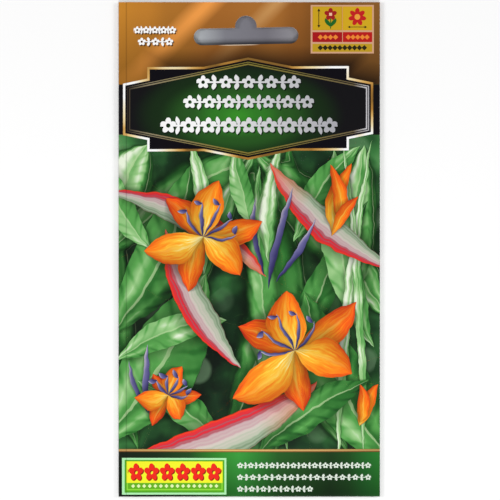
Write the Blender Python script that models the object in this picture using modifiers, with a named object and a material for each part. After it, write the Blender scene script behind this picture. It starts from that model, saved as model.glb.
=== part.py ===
"""Seed packet: a flat paper pouch with a punched header, lying face up with a few seeds inside.

One printed blank is folded into the pouch. The front panel turns down at both sides and at the foot.
A side flap is glued inside the back panel, a bottom flap is glued outside it, and glue closes the header.
Metres, +Z up. X is the width, Y the height with the header at +Y, and Z = 0 is the surface it lies on.
"""
from math import atan2, cos, hypot, pi, radians, sin

import bmesh
import bpy
from mathutils import Matrix, Vector

MM = 0.001

# The pouch
WIDTH = 80.0 * MM
HEIGHT = 151.4 * MM
PAPER = 0.15 * MM  # one ply of coated paper
GLUE = 0.05 * MM  # a dry film of glue
GAP = 0.06 * MM  # between faces that touch

# How the pouch lies: the back rests on a flat patch, and its seams and header stand a little clear
PATCH_CENTRE = (0.0, -19.0 * MM)
PATCH_HALF = (20.0 * MM, 36.0 * MM)
PATCH_BLEND = 9.0 * MM
EDGE_LIFT = 0.75 * MM

# How the seeds fill the front: a low pillow, highest over them
BULGE = 5.0 * MM
BULGE_HALF_WIDTH = 37.6 * MM
BULGE_TOP = 57.0 * MM
BULGE_CREST = -20.0 * MM
BULGE_FOOT = -73.0 * MM
BULGE_FALL_X = 1.15  # powers of the fall to the seams
BULGE_FALL_Y = 1.5

# Flaps and glue
SIDE_FLAP = 8.2 * MM
SIDE_FLAP_BLEND = 4.0 * MM
BOTTOM_FLAP = 12.0 * MM
FLAP_TAPER = 4.0 * MM
BACK_SHORT_OF_FOLD = 0.8 * MM  # the back's cut edge stops this far from the side fold
GLUE_MARGIN = 1.2 * MM
HEADER_FOOT = 58.5 * MM  # the header's glue starts here

# The hang slot: a bar with round ends and a hump over its middle, punched a little askew
SLOT_CENTRE = (-0.97 * MM, 65.3 * MM)
SLOT_TILT = radians(1.1)
SLOT_LENGTH = 32.0 * MM
SLOT_BAR = 5.1 * MM
HUMP_RADIUS = 3.3 * MM
HUMP_RAISE = 0.4 * MM  # the hump's centre over the bar's top edge
HUMP_FILLET = 0.7 * MM

# Seeds: black, with a tuft of orange hairs at one end
SEED_LENGTH = 6.0 * MM
SEED_THICK = 5.0 * MM
SEED_TAPER = 0.12  # how much slimmer it is at the tuft, and fatter at the other end
TUFT_RADIUS = 1.7 * MM
TUFT_SHOWS = 0.55  # the part of the tuft's radius past the seed's end
SEEDS = (  # x, y and the way that the tuft points
    (-11.0 * MM, -17.5 * MM, radians(205)),
    (-1.5 * MM, -26.0 * MM, radians(80)),
    (8.5 * MM, -14.0 * MM, radians(330)),
    (9.5 * MM, -26.5 * MM, radians(20)),
    (-8.0 * MM, -31.5 * MM, radians(250)),
)

FRONT_GRID = (22, 38)
BACK_GRID = (12, 22)
SNAP = 0.001 * MM  # an edge this near a seam is taken as lying on it

HALF_W = WIDTH / 2
HALF_H = HEIGHT / 2
TWO_PLY_ROOM = GLUE + 2 * GAP  # between front and back where only glue joins them
THREE_PLY_ROOM = TWO_PLY_ROOM + PAPER + GAP  # where the side flap lies between them
FLAP_BELOW_BACK = 2 * GAP + GLUE + PAPER  # the bottom flap's underside under the back's
FLAP_ABOVE_BACK = PAPER + 2 * GAP + GLUE  # the side flap's underside over the back's

for leftover in list(bpy.data.objects):
    bpy.data.objects.remove(leftover, do_unlink=True)


def new_collection(name):
    collection = bpy.data.collections.new(name)
    bpy.context.scene.collection.children.link(collection)
    return collection


PARTS = new_collection("seed_packet")
CUTTERS = new_collection("cutters")


def material(name, colour, roughness):
    mat = bpy.data.materials.new(name)
    mat.use_nodes = True
    shader = mat.node_tree.nodes["Principled BSDF"]
    shader.inputs["Base Color"].default_value = (*colour, 1.0)
    shader.inputs["Roughness"].default_value = roughness
    shader.inputs["Metallic"].default_value = 0.0
    return mat


PRINTED = material("printed_paper", (0.06, 0.16, 0.05), 0.35)
PLAIN = material("plain_paper", (0.78, 0.76, 0.70), 0.6)
PASTE = material("glue", (0.85, 0.82, 0.70), 0.3)
SEED_COAT = material("seed_coat", (0.012, 0.010, 0.009), 0.4)


def add_object(name, mesh, mat, collection=None):
    obj = bpy.data.objects.new(name, mesh)
    (collection or PARTS).objects.link(obj)
    if mat:
        mesh.materials.append(mat)
    return obj


def smooth_step(t):
    t = min(max(t, 0.0), 1.0)
    return t * t * (3 - 2 * t)


# ---- The two surfaces that the pouch is built on ----


def back_level(x, y):
    """The height of the back panel's underside."""
    past_x = max(abs(x - PATCH_CENTRE[0]) - PATCH_HALF[0], 0.0)
    past_y = max(abs(y - PATCH_CENTRE[1]) - PATCH_HALF[1], 0.0)
    return EDGE_LIFT * smooth_step(hypot(past_x, past_y) / PATCH_BLEND)


def bulge(x, y):
    """How far the seeds push the front up, from 0 at the seams to BULGE over them."""
    reach = BULGE_TOP - BULGE_CREST if y > BULGE_CREST else BULGE_CREST - BULGE_FOOT
    across = max(1 - (x / BULGE_HALF_WIDTH) ** 2, 0.0) ** BULGE_FALL_X
    along = max(1 - ((y - BULGE_CREST) / reach) ** 2, 0.0) ** BULGE_FALL_Y
    return BULGE * across * along


def front_level(x, y):
    """The height of the front panel's face. Over the side flap the pouch is a ply thicker."""
    flap_edge = SIDE_FLAP - HALF_W
    over_flap = smooth_step((flap_edge + SIDE_FLAP_BLEND - x) / SIDE_FLAP_BLEND)
    room = TWO_PLY_ROOM + (THREE_PLY_ROOM - TWO_PLY_ROOM) * over_flap
    return EDGE_LIFT + PAPER + room + PAPER + bulge(x, y)


# ---- Building blocks ----


def sheet(x_range, y_range, grid, level, seams):
    """A grid over a rectangle, raised to a level, as a bmesh. Edges run along each seam, an axis and a place."""
    bm = bmesh.new()
    bmesh.ops.create_grid(bm, x_segments=grid[0], y_segments=grid[1], size=0.5)
    width, height = x_range[1] - x_range[0], y_range[1] - y_range[0]
    for v in bm.verts:
        v.co.x = x_range[0] + (v.co.x + 0.5) * width
        v.co.y = y_range[0] + (v.co.y + 0.5) * height
    for axis, place in seams:
        normal = Vector((axis == "x", axis == "y", 0.0))
        everything = bm.verts[:] + bm.edges[:] + bm.faces[:]
        bmesh.ops.bisect_plane(bm, geom=everything, plane_co=normal * place, plane_no=normal, dist=SNAP)
    for v in bm.verts:
        v.co.z = level(v.co.x, v.co.y)
    return bm


def to_mesh(bm, name, flip=False):
    bmesh.ops.recalc_face_normals(bm, faces=bm.faces)
    if (sum(f.normal.z * f.calc_area() for f in bm.faces) < 0) != flip:
        bmesh.ops.reverse_faces(bm, faces=bm.faces)
    mesh = bpy.data.meshes.new(name)
    bm.to_mesh(mesh)
    bm.free()
    return mesh


def solidify(obj, thickness):
    """Gives a sheet its thickness on the side away from its normals."""
    shell = obj.modifiers.new("thickness", "SOLIDIFY")
    shell.thickness = thickness
    shell.offset = -1.0
    shell.use_even_offset = True


def cut(obj, cutter):
    hole = obj.modifiers.new("slot", "BOOLEAN")
    hole.operation = "DIFFERENCE"
    hole.solver = "EXACT"
    hole.object = cutter


def prism(name, outline, low, thickness, mat, collection=None):
    """A flat plate: a closed outline raised from the height low by its thickness."""
    curve = bpy.data.curves.new(name, "CURVE")
    curve.dimensions = "2D"
    curve.fill_mode = "BOTH"
    curve.extrude = thickness / 2
    spline = curve.splines.new("POLY")
    spline.points.add(len(outline) - 1)
    for point, (x, y) in zip(spline.points, outline):
        point.co = (x, y, 0.0, 1.0)
    spline.use_cyclic_u = True
    drawn = bpy.data.objects.new(name + "_outline", curve)
    CUTTERS.objects.link(drawn)
    bpy.context.view_layer.update()
    mesh = bpy.data.meshes.new_from_object(drawn.evaluated_get(bpy.context.evaluated_depsgraph_get()))
    bpy.data.objects.remove(drawn, do_unlink=True)
    bpy.data.curves.remove(curve)
    bm = bmesh.new()
    bm.from_mesh(mesh)
    bmesh.ops.remove_doubles(bm, verts=bm.verts, dist=1e-6)
    bmesh.ops.recalc_face_normals(bm, faces=bm.faces)
    bmesh.ops.translate(bm, verts=bm.verts, vec=(0, 0, low + thickness / 2))
    bm.to_mesh(mesh)
    bm.free()
    mesh.name = name
    mesh.materials.clear()
    return add_object(name, mesh, mat, collection)


def arc(cx, cy, radius, start, end, steps):
    """Points along an arc, both ends included."""
    angles = [start + (end - start) * i / steps for i in range(steps + 1)]
    return [(cx + radius * cos(a), cy + radius * sin(a)) for a in angles]


def slot_outline(grow=0.0):
    """The slot's outline, grown by a margin, turned to its tilt and moved to its place."""
    end_radius = SLOT_BAR / 2 + grow
    end_x = SLOT_LENGTH / 2 - SLOT_BAR / 2
    hump_radius = HUMP_RADIUS + grow
    hump_y = SLOT_BAR / 2 + HUMP_RAISE
    fillet = HUMP_FILLET
    fillet_y = end_radius + fillet
    fillet_x = ((hump_radius + fillet) ** 2 - (hump_y - fillet_y) ** 2) ** 0.5
    meet = atan2(hump_y - fillet_y, -fillet_x) % (2 * pi)  # from the right fillet's centre to the hump's
    hump_start = meet - pi
    points = arc(end_x, 0, end_radius, -pi / 2, pi / 2, 12)
    points += arc(fillet_x, fillet_y, fillet, 1.5 * pi, meet, 4)
    points += arc(0, hump_y, hump_radius, hump_start, pi - hump_start, 14)[1:-1]
    points += arc(-fillet_x, fillet_y, fillet, pi - meet, -pi / 2, 4)
    points += arc(-end_x, 0, end_radius, pi / 2, 1.5 * pi, 12)
    turn = Matrix.Rotation(SLOT_TILT, 2)
    placed = [turn @ Vector(p) + Vector(SLOT_CENTRE) for p in points]
    return [(p.x, p.y) for p in placed]


def slot_cutter(name, grow=0.0):
    cutter = prism(name, slot_outline(grow), -SLOT_BAR, 2 * SLOT_BAR, None, CUTTERS)
    cutter.hide_render = True
    cutter.display_type = "WIRE"
    return cutter


# ---- The pieces ----


def front_panel(slot):
    """The printed front, turned down at both side folds and at the foot, and cut off square at the top."""
    seams = [("x", -BULGE_HALF_WIDTH), ("x", BULGE_HALF_WIDTH), ("x", SIDE_FLAP - HALF_W)]
    seams += [("y", BULGE_FOOT), ("y", BULGE_TOP)]
    bm = sheet((-HALF_W, HALF_W), (-HALF_H, HALF_H), FRONT_GRID, front_level, seams)
    top = HALF_H - 1e-6
    folds = [e for e in bm.edges if e.is_boundary and min(v.co.y for v in e.verts) < top]
    turned = bmesh.ops.extrude_edge_only(bm, edges=folds)["geom"]
    for v in (g for g in turned if isinstance(g, bmesh.types.BMVert)):
        at_foot = v.co.y < -HALF_H + 1e-6
        at_left = v.co.x < 0
        v.co.z = EDGE_LIFT + (-FLAP_BELOW_BACK if at_foot else FLAP_ABOVE_BACK if at_left else 0.0)
    obj = add_object("front_panel", to_mesh(bm, "front_panel"), PRINTED)
    solidify(obj, PAPER)
    cut(obj, slot)
    return obj


def back_panel(slot):
    """The back, inside the folds at the right and the foot, and short of the fold at the left."""
    inset = PAPER + GAP
    x_range = (-HALF_W + BACK_SHORT_OF_FOLD, HALF_W - inset)
    seams = [("x", PATCH_CENTRE[0] + side * (PATCH_HALF[0] + PATCH_BLEND)) for side in (-1, 1)]
    seams += [("y", PATCH_CENTRE[1] + side * (PATCH_HALF[1] + PATCH_BLEND)) for side in (-1, 1)]
    seams += [("x", PATCH_CENTRE[0] + side * PATCH_HALF[0]) for side in (-1, 1)]
    seams += [("y", PATCH_CENTRE[1] + side * PATCH_HALF[1]) for side in (-1, 1)]
    bm = sheet(x_range, (-HALF_H + inset, HALF_H), BACK_GRID, back_level, seams)
    obj = add_object("back_panel", to_mesh(bm, "back_panel", flip=True), PLAIN)
    solidify(obj, PAPER)
    cut(obj, slot)
    return obj


def side_flap():
    """The flap turned in at the left fold, between the plies, with its two ends cut slanting."""
    outer = -HALF_W + PAPER + GAP
    inner = SIDE_FLAP - HALF_W
    top = HALF_H
    foot = -HALF_H + PAPER + GAP
    outline = [(outer, foot), (inner, foot + FLAP_TAPER), (inner, top - FLAP_TAPER), (outer, top)]
    return prism("side_flap", outline, EDGE_LIFT + FLAP_ABOVE_BACK, PAPER, PLAIN)


def side_glue():
    outer = -HALF_W + BACK_SHORT_OF_FOLD + GLUE_MARGIN
    inner = SIDE_FLAP - HALF_W - GLUE_MARGIN
    end = HALF_H - FLAP_TAPER
    outline = [(outer, -end), (inner, -end), (inner, end), (outer, end)]
    return prism("side_glue", outline, EDGE_LIFT + PAPER + GAP, GLUE, PASTE)


def bottom_flap():
    """The flap turned under at the foot, with tapered ends, outside the back panel."""
    foot = -HALF_H + PAPER + GAP
    edge = -HALF_H + BOTTOM_FLAP
    near, far = HALF_W - PAPER - GAP, HALF_W - FLAP_TAPER
    outline = [(-near, foot), (near, foot), (far, edge), (-far, edge)]
    return prism("bottom_flap", outline, EDGE_LIFT - FLAP_BELOW_BACK, PAPER, PRINTED)


def bottom_glue():
    foot = -HALF_H + 2 * GLUE_MARGIN
    edge = -HALF_H + BOTTOM_FLAP - GLUE_MARGIN
    half = HALF_W - FLAP_TAPER - GLUE_MARGIN
    outline = [(-half, foot), (half, foot), (half, edge), (-half, edge)]
    return prism("bottom_glue", outline, EDGE_LIFT - GAP - GLUE, GLUE, PASTE)


def header_glue():
    """The film that closes the header, with a clear margin round the slot."""
    left = SIDE_FLAP + SIDE_FLAP_BLEND - HALF_W
    right = HALF_W - PAPER - GLUE_MARGIN
    outline = [(left, HEADER_FOOT), (right, HEADER_FOOT)]
    outline += [(right, HALF_H - GLUE_MARGIN), (left, HALF_H - GLUE_MARGIN)]
    obj = prism("header_glue", outline, EDGE_LIFT + PAPER + GAP, GLUE, PASTE)
    cut(obj, slot_cutter("slot_with_margin", GLUE_MARGIN))
    return obj


def seed(name, x, y, turn):
    """One seed: an egg shape on the back panel, joined to the tuft at its end."""
    bm = bmesh.new()
    bmesh.ops.create_uvsphere(bm, u_segments=16, v_segments=10, radius=1.0)
    bmesh.ops.rotate(bm, verts=bm.verts, matrix=Matrix.Rotation(pi / 2, 3, "Y"))
    for v in bm.verts:
        girth = SEED_THICK / 2 * (1 - SEED_TAPER * v.co.x)
        v.co = Vector((v.co.x * SEED_LENGTH / 2, v.co.y * girth, v.co.z * girth))
    obj = add_object(name, to_mesh(bm, name), SEED_COAT)
    obj.data.shade_smooth()
    obj.location = (x, y, PAPER + 2 * GAP + SEED_THICK / 2)
    obj.rotation_euler = (0, 0, turn)

    bm = bmesh.new()
    bmesh.ops.create_uvsphere(bm, u_segments=12, v_segments=7, radius=TUFT_RADIUS)
    tuft = add_object(name + "_tuft", to_mesh(bm, name + "_tuft"), None, CUTTERS)
    tuft.location = (SEED_LENGTH / 2 - TUFT_RADIUS * (1 - TUFT_SHOWS), 0.0, 0.0)
    tuft.parent = obj
    tuft.hide_render = True
    tuft.display_type = "WIRE"
    join = obj.modifiers.new("tuft", "BOOLEAN")
    join.operation = "UNION"
    join.solver = "EXACT"
    join.object = tuft
    return obj


slot = slot_cutter("slot_cutter")
front_panel(slot)
back_panel(slot)
side_flap()
side_glue()
bottom_flap()
bottom_glue()
header_glue()
for number, (seed_x, seed_y, seed_turn) in enumerate(SEEDS, start=1):
    seed(f"seed_{number}", seed_x, seed_y, seed_turn)
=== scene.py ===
# %% [markdown]
# # A seed packet
# A seed packet is one sheet of printed paper, folded into a flat pouch and glued. This lesson rebuilds its
# surfaces over a measured model, the frame, which gives every piece its place. The frame comes first.

# %% The frame
from math import cos, pi, radians, sin

import bpy
import numpy as np
from mathutils import Matrix, Vector


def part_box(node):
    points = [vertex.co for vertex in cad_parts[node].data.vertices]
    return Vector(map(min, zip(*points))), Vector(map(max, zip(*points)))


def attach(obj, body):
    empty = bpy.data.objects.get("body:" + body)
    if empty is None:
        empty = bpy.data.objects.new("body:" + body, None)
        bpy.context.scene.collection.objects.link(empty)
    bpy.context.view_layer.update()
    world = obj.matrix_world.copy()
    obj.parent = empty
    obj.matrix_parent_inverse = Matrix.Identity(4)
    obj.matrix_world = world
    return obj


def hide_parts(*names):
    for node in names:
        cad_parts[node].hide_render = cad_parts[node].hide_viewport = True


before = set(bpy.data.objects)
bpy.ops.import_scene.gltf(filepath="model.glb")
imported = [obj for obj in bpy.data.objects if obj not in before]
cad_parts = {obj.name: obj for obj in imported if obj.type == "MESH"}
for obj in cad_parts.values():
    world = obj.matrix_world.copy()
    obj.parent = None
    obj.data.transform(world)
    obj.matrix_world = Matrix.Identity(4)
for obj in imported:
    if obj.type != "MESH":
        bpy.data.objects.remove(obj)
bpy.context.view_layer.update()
MM = 0.001
low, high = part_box("front_panel")
HALF_W = (high[0] - low[0]) / 2
HALF_H = (high[1] - low[1]) / 2
print("packet", round(2 * HALF_W / MM, 1), "x", round(2 * HALF_H / MM, 1), "mm")

# %% [markdown]
# ## The camera
# The packet lies on its back and is seen from straight above, with the header at the top of the view. A long
# lens far away keeps the edges parallel.

# %% The camera
scene = bpy.context.scene
scene.view_settings.view_transform = "Standard"
VIEW_HEIGHT = 153.3 * MM  # what the view covers at the packet's level
LENS = 200.0
SENSOR = 36.0
bpy.ops.object.camera_add(location=(0.23 * MM, -0.17 * MM, VIEW_HEIGHT * LENS / SENSOR), rotation=(0, 0, 0))
camera = bpy.context.object
camera.data.lens = LENS
camera.data.sensor_width = SENSOR
camera.data.clip_end = 20.0
scene.camera = camera
print("camera", round(camera.location.z, 3), "m above the surface")

# %% [markdown]
# ## Sums on sockets
# A print is drawn with sums: how far a point is from an edge, and which side it is on. Chains of Math nodes
# are hard to read, so one small class wraps a socket, and Python's own signs add the Math nodes.

# %% One helper for every node
tree = None  # the node tree that is being written


def add_node(kind, inputs=(), output=0, **settings):
    """Adds a node, with its settings first and then its inputs, and returns one output as a Wire."""
    node = tree.nodes.new(kind)
    stops = settings.pop("stops", None)
    for name, value in settings.items():
        setattr(node, name, value)
    if stops:
        elements = node.color_ramp.elements
        while len(elements) < len(stops):
            elements.new(1.0)
        for element, (place, colour) in zip(elements, stops):
            element.position = place
            element.color = colour
    for name, value in dict(inputs).items():
        if isinstance(value, Wire):
            tree.links.new(value.socket, node.inputs[name])
        else:
            node.inputs[name].default_value = value
    return Wire(node.outputs[output])


# %% The wire
class Wire:
    """A socket's value. Sums on it add Math nodes."""

    def __init__(self, socket):
        self.socket = socket

    def maths(self, operation, *terms, clamp=False):
        return add_node("ShaderNodeMath", dict(enumerate(terms)), operation=operation, use_clamp=clamp)

    def __add__(self, other):
        return self.maths("ADD", self, other)

    __radd__ = __add__

    def __sub__(self, other):
        return self.maths("SUBTRACT", self, other)

    def __rsub__(self, other):
        return self.maths("SUBTRACT", other, self)

    def __mul__(self, other):
        return self.maths("MULTIPLY", self, other)

    __rmul__ = __mul__

    def __truediv__(self, other):
        return self.maths("DIVIDE", self, other)

    def __abs__(self):
        return self.maths("ABSOLUTE", self)

    def __lt__(self, other):
        return self.maths("LESS_THAN", self, other)

    def __gt__(self, other):
        return self.maths("GREATER_THAN", self, other)

    def __mod__(self, other):
        return self.maths("FLOORED_MODULO", self, other)

    def __pow__(self, other):
        return self.maths("POWER", self, other)

    def times_plus(self, factor, extra, clamp=False):
        return self.maths("MULTIPLY_ADD", self, factor, extra, clamp=clamp)

    def ramp_up(self, start, end):
        """0 before start, 1 after end, straight between. With start over end it falls."""
        scale = 1.0 / (end - start)
        return self.times_plus(scale, -start * scale, clamp=True)

    def at_least(self, other):
        return self.maths("MAXIMUM", self, other)

    def at_most(self, other):
        return self.maths("MINIMUM", self, other)

    def sine(self):
        return self.maths("SINE", self)

    def part(self, number):
        """Another output of the node that this wire comes from."""
        return Wire(self.socket.node.outputs[number])


print("wires ready")

# %% [markdown]
# Colours go through Mix nodes, since a Math node would turn them grey. A colour is written as for print, in
# #rrggbb, and a shader wants it in linear numbers.

# %% Colours


def paint(code):
    parts = [int(code[i:i + 2], 16) / 255 for i in (1, 3, 5)]
    return (*[c / 12.92 if c <= 0.04045 else ((c + 0.055) / 1.055) ** 2.4 for c in parts], 1.0)


def blend(mask, under, over):
    """The colour over where the mask is 1, and the colour under where it is 0."""
    inputs = {0: mask, 6: under, 7: over}
    return add_node("ShaderNodeMix", inputs, output=2, data_type="RGBA")


def multiply(colour, factor):
    """A colour times a number: a mix from black, where a factor over 1 goes past the colour."""
    inputs = {0: factor, 6: (0, 0, 0, 1), 7: colour}
    return add_node("ShaderNodeMix", inputs, output=2, data_type="RGBA", clamp_factor=False)


def ramp(value, *stops, smooth=False):
    """A run of colours over 0 to 1. Each stop is a place and a colour code."""
    coded = [(place, paint(code)) for place, code in stops]
    run = add_node("ShaderNodeValToRGB", {0: value}, stops=coded)
    if smooth:
        run.socket.node.color_ramp.interpolation = "EASE"
    return run


print("amber in linear numbers:", [round(c, 3) for c in paint("#ffbf00")[:3]])

# %% Materials, places and noise


def start_material(name):
    """A new material whose tree the helpers above write to, with its shader."""
    global tree
    material = bpy.data.materials.new(name)
    material.use_nodes = True
    tree = material.node_tree
    return material, tree.nodes["Principled BSDF"]


def feed(shader, name, value):
    tree.links.new(value.socket, shader.inputs[name])


def packet_place():
    """The point on the packet in millimetres from its middle: as a vector, and as x and y."""
    here = add_node("ShaderNodeTexCoord", output=3)
    vector = add_node("ShaderNodeVectorMath", {0: here, "Scale": 1 / MM}, operation="SCALE")
    x = add_node("ShaderNodeSeparateXYZ", {0: vector})
    return vector, x, x.part(1)


def noise(place, scale, detail=2.0, rough=0.5, output=0):
    inputs = {"Vector": place, "Scale": scale, "Detail": detail, "Roughness": rough}
    return add_node("ShaderNodeTexNoise", inputs, output=output)


def within(x, y, left, right, bottom, top):
    """1 inside a rectangle."""
    outside = abs(x - (left + right) / 2) - (right - left) / 2
    return outside.at_least(abs(y - (bottom + top) / 2) - (top - bottom) / 2) < 0


print("material helpers ready")

# %% [markdown]
# A drawing that repeats is kept in a node group, as a rubber stamp is: it is cut once, and each use has its
# own numbers.

# %% Stamps


def open_stamp(name, inputs, outputs, vectors=()):
    """A new node group that the helpers write to. Inputs and outputs are words; gives the input wires."""
    global tree
    tree = bpy.data.node_groups.new(name, "ShaderNodeTree")
    for way, words in (("INPUT", inputs), ("OUTPUT", outputs)):
        for word in words.split():
            kind = "NodeSocketVector" if word in vectors else "NodeSocketFloat"
            tree.interface.new_socket(word, in_out=way, socket_type=kind)
    doors = tree.nodes.new("NodeGroupInput").outputs
    return [Wire(socket) for socket in doors][:len(inputs.split())]


def close_stamp(*results):
    out = tree.nodes.new("NodeGroupOutput")
    for socket, wire in zip(out.inputs, results):
        tree.links.new(wire.socket, socket)
    print("stamp", tree.name, "has", len(tree.nodes), "nodes")
    return tree


def use_stamp(stamp, *values):
    return add_node("ShaderNodeGroup", dict(enumerate(values)), node_tree=stamp)


# %% [markdown]
# ## One blade
# Petals, leaves and stamens are all one shape: a blade between two points, widest in its middle. A few sums
# bring the point into the blade's own frame, from 0 at its root to 1 at its tip. Mapping nodes would read
# better, but Cycles works out all of them before it uses the first, and its memory for a shader is small.
# Blades are laid on each other by keeping, at each point, the frame of the topmost one, and the colours are
# then worked out once for all of them. Each blade also dims what lies just outside its edge, as its shadow
# would, which is what lifts it off the ones below.

# %% The blade stamp
x, y, top, shade, run, rise, fall, start, offset, bend, spread, tone, crisp = open_stamp(
    "blade", "x y top shade run rise fall start offset bend spread tone crisp", "top shade", vectors=("top",)
)
along = x.times_plus(run, y.times_plus(rise, start))
across = x.times_plus(fall, y.times_plus(run, offset))
belly = (along * (1 - along)).at_least(1e-4)
across = belly.times_plus(bend, across) * spread / belly
edge = abs(across)
cover = (1 - edge).times_plus(crisp, 0.5)
mine = add_node("ShaderNodeCombineXYZ", {0: along, 1: across, 2: tone})
top = add_node("ShaderNodeMix", {0: cover, 4: top, 5: mine}, output=1, data_type="VECTOR")
shade = (shade * edge.times_plus(0.55, -0.08).at_most(1.0)).at_least(cover).at_most(1.0)
BLADE = close_stamp(top, shade)


def laid(x, y, blades, crisp=30.0):
    """Lays blades on each other: how far along and across the topmost is, its tone, and the shade."""
    top, shade = (0.5, 1.0, 0.0), 1.0
    for root, turn, length, width, bend, tone in blades:
        run, rise = cos(radians(turn)) / length, sin(radians(turn)) / length
        start = -root[0] * run - root[1] * rise
        offset = root[0] * rise - root[1] * run
        spread = length / (4 * width)
        place = (run, rise, -rise, start, offset, -4 * bend, spread, tone, crisp)
        top = use_stamp(BLADE, x, y, top, shade, *place)
        shade = top.part(1)
    along = add_node("ShaderNodeSeparateXYZ", {0: top})
    return along, along.part(1), along.part(2), shade


def is_covered(tone):
    return tone > 0.001


# %% [markdown]
# ## The header
# The print has its parts in bands. The header is a copper gradient, with two bright slanting streaks that
# fade towards the foot, and a dusk over the plaque's edge.

# %% The header's copper


def header_colour(x, y, above):
    """above is the distance from the plaque's outline, outside it."""
    copper = ramp(
        x.ramp_up(-40, 40), (0.0, "#ca862c"), (0.1, "#c4802c"), (0.2, "#b07229"), (0.38, "#a8692a"),
        (0.58, "#ae7030"), (0.68, "#975d24"), (0.76, "#83511f"), (1.0, "#8b5c28"), smooth=True,
    )
    copper = multiply(copper, y.ramp_up(56, 73) * 0.42 + 0.58)
    slant = x - y
    first = abs(slant + 88).ramp_up(6.0, 0.8) * y.ramp_up(50, 72)
    second = abs(slant + 67).ramp_up(4.6, 0.6) * y.ramp_up(53, 76)
    copper = blend(first, copper, paint("#f49f4a"))
    copper = blend(second * 0.5, copper, paint("#e2b070"))
    dusk = (above - x.ramp_up(-12, 8) * 0.8).ramp_up(-0.7, 5.6).at_least(x.ramp_up(-22, -33))
    return multiply(copper, dusk * 0.84 + 0.16)


print("header sums ready")

# %% [markdown]
# ## The plaque
# The plaque is a long hexagon over a wider box, with a gold line round both, and two thin lines inside the
# hexagon. The shape is even about its middle, so the sums use distances from its centre lines. The gold
# shines white in a few places, as foil does.

# %% The plaque's shape
PLAQUE_X, PLAQUE_Y = -0.35, 43.05
PLAQUE_SLOPE = 0.205
PLAQUE_TILT = 0.0053  # the print sits a little askew on the paper
HEXAGON_HALF = (38.3, 15.73)  # half its width and half its height at the points
BOX_HALF = (30.86, 12.94)
GOLD_WIDTH = 0.72
FACE_INSET = 2.2  # where the green face starts, inside the hexagon
THIN_LINES = ((1.41, 0.12), (2.02, 0.2))  # how far inside the hexagon, and half the width
SHINES = (  # x, y and reach
    (-38, 48, 14), (-31, 31, 12), (27, 56, 15), (31, 31, 12), (-10, 28, 7), (-23, 63, 14), (37, 35, 8),
)


def plaque_distances(x, y):
    """Signed distances to the gold outline and to the hexagon. Both are under 0 inside."""
    across = abs(x - PLAQUE_X)
    up = abs(y - (x - PLAQUE_X).times_plus(PLAQUE_TILT, PLAQUE_Y))
    roof = (across.times_plus(PLAQUE_SLOPE, up) - HEXAGON_HALF[1]) * 0.98
    hexagon = roof.at_least(across - HEXAGON_HALF[0])
    box = (across - BOX_HALF[0]).at_least(up - BOX_HALF[1])
    return hexagon.at_most(box), hexagon


def gold_colour(x, y, outline):
    shine = 0.0
    for middle_x, middle_y, reach in SHINES:
        dx, dy = x - middle_x, y - middle_y
        shine = ((dx * dx + dy * dy) ** 0.5).times_plus(-1 / reach, 1.0).at_least(shine)
    gold = ramp(shine + (x * 0.31 + y * 0.5).sine() * 0.09, (0.0, "#84602a"), (0.1, "#b27f36"),
                (0.3, "#d9ac62"), (0.55, "#f3dfae"), (0.8, "#ffffff"))
    return multiply(gold, abs(outline + GOLD_WIDTH / 2).ramp_up(0.7, 0.15) * 0.6 + 0.45)


# %% The plaque's colours


def plaque_colour(x, y, outline, hexagon):
    dx, dy = x * 0.030 + 0.10, (y - 41.0) * 0.059
    glow = (dx * dx + dy * dy) ** 0.5
    green = ramp(glow, (0.0, "#389028"), (0.2, "#307c24"), (0.45, "#26561e"), (0.75, "#132a11"),
                 (1.0, "#0d0c10"), smooth=True)
    face = blend(hexagon < -FACE_INSET, paint("#04020b"), green)
    outer, inner = [abs(hexagon + inset) < half for inset, half in THIN_LINES]
    thin = outer.at_least(inner)
    ink = ramp(x.ramp_up(-40, 40), (0.03, "#2b211a"), (0.12, "#8f8468"), (0.4, "#8a7c34"), (0.6, "#7e7434"),
               (0.9, "#6e6044"), (0.945, "#c6c4c8"))
    face = blend(thin, face, ink)
    return blend(outline > -GOLD_WIDTH, face, gold_colour(x, y, outline))


print("plaque sums ready, foil shines in", len(SHINES), "places")

# %% [markdown]
# ## The ornament
# The names and the small print are left off. Their places hold rows of a common ornament, a band of flowers
# with a pair of leaves between every two. One stamp draws them all, from the title down to the footer.

# %% The ornament stamp
x, y, middle_x, middle_y, half, reach, pitch = open_stamp(
    "flower_band", "x y middle_x middle_y half reach pitch", "ink"
)
across = abs(x - middle_x)
up = y - middle_y
cell = (across + pitch * 0.5) % pitch - pitch * 0.5
far = (cell * cell + up * up) ** 0.5 / half
petals = abs((up.maths("ARCTAN2", up, cell) * 2.5 + pi / 4).sine())
flower = far < petals * 0.38 + 0.5
tall = abs(up) / half
slant = abs(across % pitch - pitch * 0.5 - tall * half * 0.22 + 0.1)
leaves = slant < tall * (1 - tall) * pitch * 0.42
band = flower.at_least(leaves).at_least(tall < 0.11) * (far > 0.24) * (across < reach) * (tall < 1.02)
FLOWER_BAND = close_stamp(band)

# %% The rows
TITLE = ((-0.2, 51.2, 2.35, 15.95, 6.96), (-0.2, 45.1, 2.35, 20.0, 5.99), (-0.1, 37.9, 2.8, 27.1, 6.17))
CORNER = ((-28.9, 67.15, 1.3, 6.5, 2.69), (-28.7, 63.6, 1.4, 5.4, 4.2))
SMALL_PRINT = (
    (16.8, -66.1, 1.05, 20.5, 3.26), (16.8, -69.75, 1.05, 20.5, 3.92), (7.9, -73.35, 1.05, 11.6, 3.56),
)


def rows(x, y, places):
    """Rows of the ornament. Each has its middle, half its height, its reach and its pitch."""
    ink = 0.0
    for place in places:
        ink = use_stamp(FLOWER_BAND, x, y, *place).at_least(ink)
    return ink


print("ornament rows:", len(TITLE + CORNER + SMALL_PRINT))

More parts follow.
